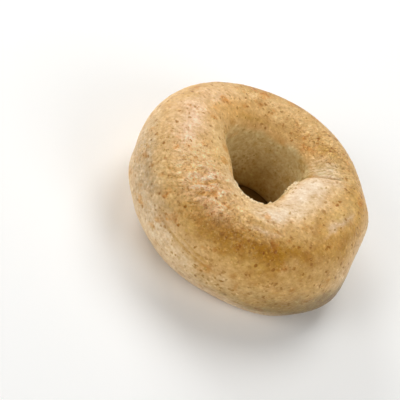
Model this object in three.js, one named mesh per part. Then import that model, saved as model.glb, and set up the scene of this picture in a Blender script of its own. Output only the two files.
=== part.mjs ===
// A wholemeal bagel, lying on its flat underside. Millimetres, +Z up.
// The origin is the middle of the outline, on the underside.
// It is one closed ring of dough. Every section runs from the hole's edge to the outer edge.
// Angles are in degrees round the ring, from +X towards +Y. Turn is the place round a section:
// -90 on the underside, 0 at the widest level outside, 90 on the crown, 180 in the hole.

import * as THREE from 'three';
import { ParametricGeometry } from 'three/addons/geometries/ParametricGeometry.js';
import { mergeVertices } from 'three/addons/utils/BufferGeometryUtils.js';

const { cos, exp, hypot, max, min, PI, pow, round, sin, sqrt } = Math;
const degree = PI / 180;

// The outline at its widest level, seen from above: a circle pulled a little out of round
const outline = {
  radius: 54,
  oval: 0.031,
  ovalAngle: -35,
  threeCorner: 0.028,
  threeCornerAngle: -31,
  fourCorner: 0.008,
  fourCornerAngle: -25,
};

// The hole at its narrowest level, seen from above. It sits off centre, so the ring is fat in front.
// The pinch draws its front half to a soft V.
const hole = {
  radius: 19.3,
  middleX: -0.6,
  middleY: 6.6,
  oval: 0.038,
  ovalAngle: 80,
  pinch: 0.189,
  pinchAngle: 39.4,
};

// The crown rises and sinks round the ring. Its place is a share of the ring's width.
const crown = {
  height: 44,
  tilt: 0.075,
  tiltAngle: -112,
  wave: 0.063,
  waveAngle: 4,
  place: 0.515,
};

// The outer wall leans in towards the underside. Levels are shares of the crown's height,
// and the lean is a share of the widest level.
const flank = {
  widestLevel: 0.396,
  levelSwing: 0.097,
  levelSwingAngle: -172,
  lean: 0.474,
  leanPower: 1.5,
  edgeRadius: 4.5,
  domePower: 2.44,
};

// The hole's wall runs down at a slant: its foot stands out from the hole in front,
// and reaches into it at the back.
const holeWall = {
  narrowestLevel: 0.741,
  flare: -1.5,
  flareSwing: 4.5,
  flareSwingAngle: -90,
  flarePower: 1.5,
  edgeRadius: 4,
  domePower: 2.12,
};

// Where the two ends of the dough overlap: a crease from the crown down into the hole,
// with a swollen lip before it and a hollow after it
const seam = {
  angle: 12,
  bend: 13,
  bendTurn: 205,
  bendTurns: 32,
  crownBend: 6,
  crownBendTurn: 86,
  crownBendTurns: 22,
  bendAngles: 30,
  start: 96,
  startFade: 30,
  end: 235,
  endFade: 60,
  creaseDepth: 1.9,
  creaseWidth: 1.4,
  lipHeight: 1.1,
  lipWidth: 6,
  lipOffset: -5.5,
  hollowDepth: 0.8,
  hollowWidth: 7,
  hollowOffset: 8,
};

// Swellings and dints in the skin, each a soft round lump
const lumps = [
  { height: 1.4, angle: 9, turn: 38, angleWidth: 9, turnWidth: 24 },
  { height: -1.6, angle: -9, turn: 15, angleWidth: 10, turnWidth: 24 },
  { height: 0.9, angle: -24, turn: -5, angleWidth: 12, turnWidth: 26 },
  { height: 0.8, angle: -154, turn: -8, angleWidth: 9, turnWidth: 24 },
  { height: -0.8, angle: -168, turn: 2, angleWidth: 9, turnWidth: 24 },
  { height: -0.8, angle: -76, turn: -48, angleWidth: 14, turnWidth: 24 },
  { height: 0.9, angle: 75, turn: 20, angleWidth: 20, turnWidth: 30 },
  { height: -0.8, angle: 115, turn: 0, angleWidth: 18, turnWidth: 25 },
];

// Columns round the ring stand closer together by the seam.
const columns = 104;
const columnCrowding = 0.62;

// A cosine wave round the ring with count peaks, one of them at peakAngle
function swell(angle, count, peakAngle) {
  return cos(count * (angle - peakAngle) * degree);
}

// The shortest way round from one angle to another
function angleBetween(angle, other) {
  return angle - other - 360 * round((angle - other) / 360);
}

// 1 in the middle, falling away over width on both sides
function bump(distance, width) {
  return exp(-pow(distance / width, 2));
}

// 0 before start, 1 from start plus length on, smooth between
function ramp(value, start, length) {
  const share = min(1, max(0, (value - start) / length));
  return share * share * (3 - 2 * share);
}

function outlineRadiusAt(angle) {
  const oval = outline.oval * swell(angle, 2, outline.ovalAngle);
  const three = outline.threeCorner * swell(angle, 3, outline.threeCornerAngle);
  const four = outline.fourCorner * swell(angle, 4, outline.fourCornerAngle);
  return outline.radius * (1 + oval + three + four);
}

function holeRadiusAt(angle) {
  const oval = hole.oval * swell(angle, 2, hole.ovalAngle);
  const inFront = 0.5 + 0.5 * swell(angle, 1, -90);
  return hole.radius * (1 + oval + hole.pinch * inFront * swell(angle, 3, hole.pinchAngle));
}

function crownHeightAt(angle) {
  const tilt = crown.tilt * swell(angle, 1, crown.tiltAngle);
  const wave = crown.wave * swell(angle, 2, crown.waveAngle);
  return crown.height * (1 + tilt + wave);
}

// How far a rounded bottom edge stands in from its wall, at a level above the underside
function edgeInset(level, radius) {
  const below = max(0, radius - level);
  return radius - sqrt(radius * radius - below * below);
}

// The sizes of the ring's section at one angle, and the line across the ring that it stands on
function sectionAt(angle) {
  const holeX = hole.middleX + holeRadiusAt(angle) * cos(angle * degree);
  const holeY = hole.middleY + holeRadiusAt(angle) * sin(angle * degree);
  const outerX = outlineRadiusAt(angle) * cos(angle * degree);
  const outerY = outlineRadiusAt(angle) * sin(angle * degree);
  const width = hypot(outerX - holeX, outerY - holeY);
  const height = crownHeightAt(angle);
  const levelSwing = flank.levelSwing * swell(angle, 1, flank.levelSwingAngle);
  const flareSwing = holeWall.flareSwing * swell(angle, 1, holeWall.flareSwingAngle);
  return {
    holeX,
    holeY,
    outX: (outerX - holeX) / width,
    outY: (outerY - holeY) / width,
    width,
    height,
    widest: height * (flank.widestLevel + levelSwing),
    narrowest: height * holeWall.narrowestLevel,
    crownPlace: width * crown.place,
    flare: holeWall.flare + flareSwing,
  };
}

// Each stretch of the section gives [distance from the hole's edge, level] at a share of its way.

// The flank leans out from a rounded bottom edge up to the widest level.
function flankPoint(section, share) {
  const level = section.widest * (1 - cos(share * PI / 2));
  const lean = flank.lean * section.widest * pow(1 - level / section.widest, flank.leanPower);
  return [section.width - lean - edgeInset(level, flank.edgeRadius), level];
}

// The outer dome is a quarter of a superellipse, from the widest level up to the crown.
function outerDomePoint(section, share) {
  const reach = section.width - section.crownPlace;
  const rise = section.height - section.widest;
  return [
    section.crownPlace + reach * pow(cos(share * PI / 2), 2 / flank.domePower),
    section.widest + rise * pow(sin(share * PI / 2), 2 / flank.domePower),
  ];
}

// The inner dome is the same kind of quarter, from the crown down into the hole.
function innerDomePoint(section, share) {
  const rise = section.height - section.narrowest;
  return [
    section.crownPlace * (1 - pow(sin(share * PI / 2), 2 / holeWall.domePower)),
    section.narrowest + rise * pow(cos(share * PI / 2), 2 / holeWall.domePower),
  ];
}

// The hole's wall slants down to a rounded bottom edge.
function holeWallPoint(section, share) {
  const level = section.narrowest * cos(share * PI / 2);
  const slant = section.flare * pow(1 - level / section.narrowest, holeWall.flarePower);
  return [slant + edgeInset(level, holeWall.edgeRadius), level];
}

// The flat underside joins the two bottom edges.
function undersidePoint(section, share) {
  const from = section.flare + holeWall.edgeRadius;
  const to = section.width - flank.lean * section.widest - flank.edgeRadius;
  return [from + (to - from) * share, 0];
}

// Rows stand even along a stretch, or closer together towards its end.
const evenly = (share) => share;
const closerToEnd = (share) => sin(share * PI / 2);

const stretches = [
  { point: undersidePoint, steps: 2, fromTurn: -90, toTurn: -90, spacing: evenly },
  { point: flankPoint, steps: 8, fromTurn: -90, toTurn: 0, spacing: evenly },
  { point: outerDomePoint, steps: 12, fromTurn: 0, toTurn: 90, spacing: evenly },
  { point: innerDomePoint, steps: 11, fromTurn: 90, toTurn: 180, spacing: evenly },
  { point: holeWallPoint, steps: 8, fromTurn: 180, toTurn: 270, spacing: closerToEnd },
];
const rows = stretches.reduce((sum, stretch) => sum + stretch.steps, 0);

// How far the seam lifts or sinks the skin, at an angle from the crease and a turn,
// radius millimetres out from the ring's middle
function seamRelief(fromCrease, turn, radius) {
  const across = radius * fromCrease * degree;
  const starts = ramp(turn, seam.start - seam.startFade / 2, seam.startFade);
  const ends = 1 - ramp(turn, seam.end - seam.endFade / 2, seam.endFade);
  const crease = seam.creaseDepth * bump(across, seam.creaseWidth);
  const lip = seam.lipHeight * bump(across - seam.lipOffset, seam.lipWidth);
  const hollow = seam.hollowDepth * bump(across - seam.hollowOffset, seam.hollowWidth);
  return starts * ends * (lip - crease - hollow);
}

function lumpRelief(angle, turn) {
  let relief = 0;
  for (const lump of lumps) {
    const round = bump(angleBetween(angle, lump.angle), lump.angleWidth);
    relief += lump.height * round * bump(turn - lump.turn, lump.turnWidth);
  }
  return relief;
}

// One point of the skin. Around goes once round the ring from the seam, and along goes once
// round its section. The columns by the seam bend with the crease, so that it follows them.
function skinPoint(around, along, target) {
  let row = round(along * rows) % rows;
  let index = 0;
  while (row >= stretches[index].steps) {
    row -= stretches[index].steps;
    index += 1;
  }
  const stretch = stretches[index];
  const share = stretch.spacing(row / stretch.steps);
  const turn = stretch.fromTurn + (stretch.toTurn - stretch.fromTurn) * share;

  const even = 360 * around;
  const fromCrease = angleBetween(even - columnCrowding * sin(even * degree) / degree, 0);
  const holeBend = seam.bend * bump(turn - seam.bendTurn, seam.bendTurns);
  const bend = holeBend + seam.crownBend * bump(turn - seam.crownBendTurn, seam.crownBendTurns);
  const angle = seam.angle + fromCrease + bend * bump(fromCrease, seam.bendAngles);

  const section = sectionAt(angle);
  const [out, level] = stretch.point(section, share);
  const x = section.holeX + section.outX * out;
  const y = section.holeY + section.outY * out;

  // The relief pushes straight out from the middle of the section. The flat underside has none.
  const coreOut = out - section.crownPlace;
  const coreUp = level - section.height / 2;
  const lift = ramp(level, 0, flank.edgeRadius) / hypot(coreOut, coreUp);
  const relief = lift * (seamRelief(fromCrease, turn, hypot(x, y)) + lumpRelief(angle, turn));
  target.set(
    x + section.outX * coreOut * relief,
    y + section.outY * coreOut * relief,
    level + coreUp * relief,
  );
}

// The skin meets itself both ways, so its doubled edge points are merged to close it.
function bagelGeometry() {
  const skin = new ParametricGeometry(skinPoint, columns, rows);
  skin.deleteAttribute('normal');
  skin.deleteAttribute('uv');
  const solid = mergeVertices(skin, 1e-3);
  solid.computeBoundingBox();
  const { min: low, max: high } = solid.boundingBox;
  solid.translate(-(low.x + high.x) / 2, -(low.y + high.y) / 2, -low.z);
  solid.computeVertexNormals();
  return solid;
}

const crust = new THREE.MeshStandardMaterial({ color: 0xc99c5f, roughness: 0.7, metalness: 0 });

const bagel = new THREE.Mesh(bagelGeometry(), crust);
bagel.name = 'bagel';

const model = new THREE.Group();
model.add(bagel);

export default model;
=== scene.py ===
# A wholemeal bagel lying on a pale floor. Metres, +Z up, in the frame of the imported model.

from math import cos, radians, sin

import bpy
import numpy as np
from mathutils import Matrix, Vector


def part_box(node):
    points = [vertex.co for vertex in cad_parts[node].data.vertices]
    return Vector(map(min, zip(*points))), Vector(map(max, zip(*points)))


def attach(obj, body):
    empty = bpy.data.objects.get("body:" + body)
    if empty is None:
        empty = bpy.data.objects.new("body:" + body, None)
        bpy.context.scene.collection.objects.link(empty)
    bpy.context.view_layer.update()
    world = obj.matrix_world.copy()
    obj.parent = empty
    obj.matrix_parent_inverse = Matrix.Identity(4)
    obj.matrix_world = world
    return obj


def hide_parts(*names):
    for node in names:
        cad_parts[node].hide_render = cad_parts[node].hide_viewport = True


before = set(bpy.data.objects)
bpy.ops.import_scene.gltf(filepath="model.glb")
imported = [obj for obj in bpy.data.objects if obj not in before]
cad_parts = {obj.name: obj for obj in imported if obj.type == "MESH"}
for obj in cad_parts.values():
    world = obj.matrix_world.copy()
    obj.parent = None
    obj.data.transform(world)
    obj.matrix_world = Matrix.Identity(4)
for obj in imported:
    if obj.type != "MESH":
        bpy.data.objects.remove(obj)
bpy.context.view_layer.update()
bagelLow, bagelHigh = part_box("bagel")
print("frame loaded")

mm = 0.001
degree = np.pi / 180
finePlaces = 4001   # how finely lengths are added up


def wave(angle, count, peak):
    # a cosine round the ring with count peaks, one of them at peak, angles in degrees
    return np.cos(count * (angle - peak) * degree)


def bump(distance, width):
    # 1 in the middle, exp of minus (distance over width) squared
    return np.exp(-(distance / width) ** 2)


def ramp(value, start, length):
    # 0 before start, 1 from start plus length on, 3s^2 - 2s^3 between
    share = np.clip((value - start) / length, 0, 1)
    return share * share * (3 - 2 * share)


def window(value, start, startLength, end, endLength):
    # rises from 0 to 1 from start on and falls back from end on: a ramp times 1 minus a ramp
    return ramp(value, start, startLength) * (1 - ramp(value, end, endLength))


def angleBetween(angle, other):
    # the shortest way round from other to angle, -180 to 180
    return (angle - other + 180) % 360 - 180


def spot(angle, turn, place):
    # a soft spot on the skin, a bump round the ring times a bump along the section. Its place
    # is its angle and turn, and its width in each
    spotAngle, spotTurn, angleWidth, turnWidth = place
    return bump(angleBetween(angle, spotAngle), angleWidth) * bump(turn - spotTurn, turnWidth)


def spotsSum(angle, turn, spots):
    # the sum of soft spots, each a share and a place
    return sum(share * spot(angle, turn, place) for share, *place in spots)


def hashed(cells, seed):
    # one repeatable number from 0 to 1 for each whole-number cell (x, y, z): each is multiplied by
    # a large prime, and the bits are stirred twice
    x, y, z = (cells[..., k].astype(np.int64) for k in range(3))
    mixed = x * 73856093 ^ y * 19349663 ^ z * 83492791 ^ seed * 2654435761
    mixed = (mixed ^ (mixed >> 13)) * 1274126177 & 0x7FFFFFFF
    mixed = (mixed ^ (mixed >> 16)) * 668265263 & 0x7FFFFFFF
    return (mixed ^ (mixed >> 15)) / 0x7FFFFFFF


def smoothNoise(points, size, seed):
    # -1 to 1: random values on a lattice of cells of that size, blended smoothly between
    scaled = points / size
    cell = np.floor(scaled)
    part = scaled - cell
    part = part ** 3 * (part * (part * 6 - 15) + 10)
    total = 0
    for corner in np.ndindex(2, 2, 2):
        weight = np.prod(np.where(corner, part, 1 - part), axis=-1)
        total = total + weight * hashed(cell + corner, seed)
    return 2 * total - 1


def nearestDistance(points, size, seed):
    # distance to the nearest of one random point in each lattice cell, in cells, 0 to about 1
    scaled = points / size
    cell = np.floor(scaled)
    nearest = np.full(points.shape[:-1], np.inf)
    for step in np.ndindex(3, 3, 3):
        other = cell + step - 1
        site = other + np.stack([hashed(other, seed + k) for k in range(3)], axis=-1)
        nearest = np.minimum(nearest, np.linalg.norm(site - scaled, axis=-1))
    return nearest


def layeredNoise(points, layers):
    # the sum of noises, each an amount, a size and a seed
    return sum(amount * smoothNoise(points, size, seed) for amount, size, seed in layers)


# The ring of dough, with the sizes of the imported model.
# angle goes round the ring in degrees, from +X towards +Y.
# turn goes round a section: -90 flat foot, 0 widest, 90 crown, 180 in the hole, 270 its foot,
# and from 270 to 360 along the flat underside.
# A wave is its amount, how many peaks it has round the ring, and the angle of one of them

ring = {
    "outlineRadius": 54 * mm,
    "outlineWaves": [(0.031, 2, -35), (0.028, 3, -31), (0.008, 4, -25)],
    "holeRadius": 19.3 * mm,
    "holeMiddle": (-0.6 * mm, 6.6 * mm),
    "holeOval": (0.038, 2, 80),
    "holePinch": (0.189, 3, 39.4),   # only in front
    "front": (0.5, 1, -90),          # from 0 behind to 1 in front, less 0.5
    "crownHeight": 44 * mm,
    "crownWaves": [(0.075, 1, -112), (0.063, 2, 4)],
    "crownPlace": 0.515,
    "widestLevel": 0.396,
    "widestWave": (0.097, 1, -172),
    "flankLean": 0.474,
    "flankEdge": 4.5 * mm,
    "flankDome": 2.44,
    "narrowestLevel": 0.741,
    "holeSlant": -1.5 * mm,
    "holeSlantWave": (4.5 * mm, 1, -90),
    "holeEdge": 4 * mm,
    "holeDome": 2.12,
    "leanPower": 1.5,
    "meanRadius": 38 * mm,      # turns degrees round the ring into metres
    "sectionRadius": 19 * mm,   # and degrees of turn
}

seam = {
    "angle": 12, "bend": 13, "bendTurn": 205, "bendTurns": 32, "bendAngles": 30,
    "crownBend": 6, "crownBendTurn": 86, "crownBendTurns": 22,
    "start": 96, "startFade": 30, "end": 235, "endFade": 60,
    "overlap": 1.3 * mm, "overlapOffset": -1.5 * mm, "overlapWidth": 1.2 * mm,
    "creaseDepth": 1.9 * mm, "creaseWidth": 1.4 * mm,
    "lipHeight": 1.1 * mm, "lipWidth": 6 * mm, "lipOffset": -5.5 * mm,
    "hollowDepth": 0.8 * mm, "hollowWidth": 7 * mm, "hollowOffset": 8 * mm,
}

# low lumps and dents: height, then the place: angle, turn, angle width, turn width
lumps = [
    (1.4 * mm, 9, 38, 9, 24),
    (-1.6 * mm, -9, 15, 10, 24),
    (0.9 * mm, -24, -5, 12, 26),
    (0.8 * mm, -154, -8, 9, 24),
    (-0.8 * mm, -168, 2, 9, 24),
    (-0.8 * mm, -76, -48, 14, 24),
    (0.9 * mm, 75, 20, 20, 30),
    (-0.8 * mm, 115, 0, 18, 25),
    (0.25 * mm, -13, 83, 9, 6),
    (0.6 * mm, 92, -6, 16, 8),
]


def metresRound(angle):
    # the length of an arc: the angle times the ring's mean radius
    return angle * degree * ring["meanRadius"]


def metresAlong(turn):
    # the length of an arc: the turn times the section's mean radius
    return turn * degree * ring["sectionRadius"]


def swing(angle, given):
    # one wave's value at an angle: its amount times a cosine
    amount, count, peak = given
    return amount * wave(angle, count, peak)


def sectionAt(angle):
    # the section's foot in the hole, its direction outwards, its width and its levels.
    # each radius is its mean times 1 plus the sum of its waves
    outlineRadius = ring["outlineRadius"] * (1 + sum(swing(angle, one) for one in ring["outlineWaves"]))
    inFront = 0.5 + swing(angle, ring["front"])
    holeWaves = swing(angle, ring["holeOval"]) + inFront * swing(angle, ring["holePinch"])
    holeRadius = ring["holeRadius"] * (1 + holeWaves)
    holeX = ring["holeMiddle"][0] + holeRadius * np.cos(angle * degree)
    holeY = ring["holeMiddle"][1] + holeRadius * np.sin(angle * degree)
    acrossX = outlineRadius * np.cos(angle * degree) - holeX
    acrossY = outlineRadius * np.sin(angle * degree) - holeY
    width = np.hypot(acrossX, acrossY)
    height = ring["crownHeight"] * (1 + sum(swing(angle, one) for one in ring["crownWaves"]))
    return {
        "holeX": holeX, "holeY": holeY, "outX": acrossX / width, "outY": acrossY / width,
        "width": width, "height": height,
        "widest": height * (ring["widestLevel"] + swing(angle, ring["widestWave"])),
        "narrowest": height * ring["narrowestLevel"],
        "crown": width * ring["crownPlace"],
        "slant": ring["holeSlant"] + swing(angle, ring["holeSlantWave"]),
    }


def edgeInset(level, radius):
    # how far a rounded bottom edge stands in from its wall: r - sqrt(r^2 - (r - level)^2)
    below = np.clip(radius - level, 0, None)
    return radius - np.sqrt(radius ** 2 - below ** 2)


def sectionPoint(section, turn):
    # out from the hole's edge and level above the floor, at a turn: a leaning flank,
    # two quarter superellipses over the crown, the hole's wall, and the flat underside
    width, height, crown = section["width"], section["height"], section["crown"]
    widest, narrowest = section["widest"], section["narrowest"]

    flankLevel = widest * (1 - np.cos(np.clip(turn + 90, 0, 90) * degree))
    lean = ring["flankLean"] * widest * np.clip(1 - flankLevel / widest, 0, 1) ** ring["leanPower"]
    flankOut = width - lean - edgeInset(flankLevel, ring["flankEdge"])

    outer = np.clip(turn, 0, 90) * degree
    outerOut = crown + (width - crown) * np.clip(np.cos(outer), 0, 1) ** (2 / ring["flankDome"])
    outerLevel = widest + (height - widest) * np.sin(outer) ** (2 / ring["flankDome"])

    inner = np.clip(turn - 90, 0, 90) * degree
    innerOut = crown * (1 - np.sin(inner) ** (2 / ring["holeDome"]))
    innerLevel = narrowest + (height - narrowest) * np.clip(np.cos(inner), 0, 1) ** (2 / ring["holeDome"])

    wallLevel = narrowest * np.clip(np.cos(np.clip(turn - 180, 0, 90) * degree), 0, 1)
    slant = section["slant"] * np.clip(1 - wallLevel / narrowest, 0, 1) ** ring["leanPower"]
    wallOut = slant + edgeInset(wallLevel, ring["holeEdge"])

    foot = section["slant"] + ring["holeEdge"]
    toe = width - ring["flankLean"] * widest - ring["flankEdge"]
    underOut = foot + (toe - foot) * (turn - 270) / 90

    where = [turn < 0, turn < 90, turn < 180, turn < 270]
    out = np.select(where, [flankOut, outerOut, innerOut, wallOut], underOut)
    level = np.select(where, [flankLevel, outerLevel, innerLevel, wallLevel], 0 * underOut)
    return out, level


def seamShare(turn):
    # how strongly the seam shows at a turn: rises on the crown, dies away low in the hole
    starts = seam["start"] - seam["startFade"] / 2
    ends = seam["end"] - seam["endFade"] / 2
    return window(turn, starts, seam["startFade"], ends, seam["endFade"])


def ringPoints(fromSeam, turn):
    # x, y, z of the skin before its fine relief, and its angles. The columns bend with the seam,
    # and lumps and seam push straight out from the middle of the section
    bend = seam["bend"] * bump(turn - seam["bendTurn"], seam["bendTurns"])
    bend = bend + seam["crownBend"] * bump(turn - seam["crownBendTurn"], seam["crownBendTurns"])
    angle = seam["angle"] + fromSeam + bend * bump(fromSeam, seam["bendAngles"])
    # the lip on the near side of the seam is pulled over the crease
    lapped = bump(metresRound(fromSeam) - seam["overlapOffset"], seam["overlapWidth"])
    over = seam["overlap"] * lapped * seamShare(turn)
    section = sectionAt(angle + over / ring["meanRadius"] / degree)
    out, level = sectionPoint(section, turn)
    x = section["holeX"] + section["outX"] * out
    y = section["holeY"] + section["outY"] * out

    across = np.hypot(x, y) * fromSeam * degree
    crease = seam["creaseDepth"] * bump(across, seam["creaseWidth"])
    lip = seam["lipHeight"] * bump(across - seam["lipOffset"], seam["lipWidth"])
    hollow = seam["hollowDepth"] * bump(across - seam["hollowOffset"], seam["hollowWidth"])
    relief = seamShare(turn) * (lip - crease - hollow) + spotsSum(angle, turn, lumps)

    coreOut = out - section["crown"]
    coreUp = level - section["height"] / 2
    push = relief * ramp(level, 0, ring["flankEdge"]) / np.hypot(coreOut, coreUp)
    points = np.stack([x + section["outX"] * coreOut * push, y + section["outY"] * coreOut * push,
                       level + coreUp * push], axis=-1)
    return points, angle


def gridNormals(points):
    # the cross product of the steps along both ways of a grid that closes on itself
    around = np.roll(points, -1, 0) - np.roll(points, 1, 0)
    along = np.roll(points, -1, 1) - np.roll(points, 1, 1)
    normals = np.cross(around, along)
    return normals / np.maximum(np.linalg.norm(normals, axis=-1, keepdims=True), 1e-12)


def spacedBy(density, count, start, end):
    # count places from start towards end, closer together where density is higher
    fine = np.linspace(start, end, finePlaces)
    middle = (fine[1:] + fine[:-1]) / 2
    passed = np.concatenate([[0], np.cumsum(density(middle))])
    return np.interp(np.arange(count) * passed[-1] / count, passed, fine)


crust = {
    "columns": 420,
    "rows": 226,
    "seamCrowding": 1.5,      # how much closer the columns stand at the seam
    "seamCrowdingWidth": 20,
    "wrinkledCrowding": 0.9,  # and on the wrinkled side of the crown
    "wrinkledFromSeam": -127, "wrinkledCrowdingWidth": 30,
    "undersideShare": 0.16,   # how close the rows of the underside stand
    "wallShare": 0.7, "wallFade": (180, 30),
    "softRelief": [(0.30 * mm, 17 * mm, 1), (0.12 * mm, 6.5 * mm, 2), (0.05 * mm, 2.4 * mm, 3)],
    "grainSize": 1.6 * mm, "grainSeed": 40, "grainHeight": 0.16 * mm, "leastGrain": 0.25,
    # the grains are paler in the middle and darker between, partly their own colour and partly painted
    # highlight and shade
    "grainTintAndHighlight": (0.5, 0.65, 0.9),
    "grainMiddle": 0.5,       # the distance from a grain's middle, in cells, where it is level
    "wrinkleSize": 1.5 * mm, "wrinkleLength": 9 * mm, "wrinkleHeight": 0.22 * mm,
    "wrinkleSeed": 22, "wrinkleSharpness": 3.2, "wrinkleRadius": 36 * mm,
    "wrinkleSway": [(1.8 * mm, 6 * mm, 21)],
    "wrinkleSlant": 0.6, "wrinkleSlantWidth": 60,
    "lieRadius": 3.5 * mm,    # the section's, much shortened, for the finest wrinkles
    # painted highlight on the wrinkles' crests, painted shade in their furrows and in the folds' furrows
    "crestHighlightTint": (1.09, 1.10, 1.22), "furrowShadeTint": (0.82, 0.68, 0.38),
    "foldShadeTint": (0.72, 0.66, 0.46),
}


def crustColumns():
    # angles from the seam, closer together beside it and where the crown is wrinkled
    def density(a):
        # 1, more in a bump at the seam and in another at the wrinkles
        bySeam = crust["seamCrowding"] * bump(a, crust["seamCrowdingWidth"])
        wrinkled = bump(a - crust["wrinkledFromSeam"], crust["wrinkledCrowdingWidth"])
        return 1 + bySeam + crust["wrinkledCrowding"] * wrinkled

    return spacedBy(density, crust["columns"], -180, 180)


def crustRows():
    # turns with even steps along a mean section, wider on the underside and in the hole
    turn = np.linspace(-90, 360, finePlaces)
    section = {k: np.mean(v) for k, v in sectionAt(np.arange(0, 360, 5.0)).items()}
    out, level = sectionPoint(section, turn)
    pace = np.hypot(np.diff(out), np.diff(level)) / np.diff(turn)
    middle = (turn[1:] + turn[:-1]) / 2
    care = 1 - (1 - crust["wallShare"]) * ramp(middle, *crust["wallFade"]) * (middle < 270)
    care = np.where(middle >= 270, crust["undersideShare"], care)
    return spacedBy(lambda t: np.interp(t, middle, pace * care), crust["rows"], -90, 360)


fromSeam, turn = np.meshgrid(crustColumns(), crustRows(), indexing="ij")
basePoints, angle = ringPoints(fromSeam, turn)
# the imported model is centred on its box, so this one is too
lowest, highest = basePoints.min(axis=(0, 1)), basePoints.max(axis=(0, 1))
ringShift = Vector(((bagelLow.x + bagelHigh.x - lowest[0] - highest[0]) / 2,
                    (bagelLow.y + bagelHigh.y - lowest[1] - highest[1]) / 2, 0))
print("ring shift mm", [round(1000 * s, 3) for s in ringShift])
basePoints = basePoints + np.array(ringShift)


# The colours of the dough, linear red, green and blue
palette = {
    "tan": (0.80, 0.50, 0.19),
    "dough": (0.84, 0.62, 0.37),
    "greyTan": (0.64, 0.48, 0.29),
    "ochre": (0.58, 0.30, 0.05),
    "brown": (0.46, 0.20, 0.006),
    "gold": (0.88, 0.48, 0.13),
    "lightGold": (0.97, 0.66, 0.30),
    "honey": (0.92, 0.62, 0.18),
    "cream": (0.87, 0.67, 0.46),
    # blush is partly the crust's rosy colour and partly a painted sheen on the crown
    "blushAndSheen": (1.0, 0.70, 0.46),
    # olive, shade, foot and edge are painted shade: olive, foot and edge darken the low front towards the
    # foot, and shade darkens the seam's crease and the hole's foot
    "olive": (0.50, 0.32, 0.12),
    "shade": (0.30, 0.18, 0.06),
    "wall": (0.775, 0.615, 0.305),
    "foot": (0.38, 0.25, 0.09),
    "edge": (0.20, 0.12, 0.03),
    "fold": (0.82, 0.66, 0.42),
}

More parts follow.
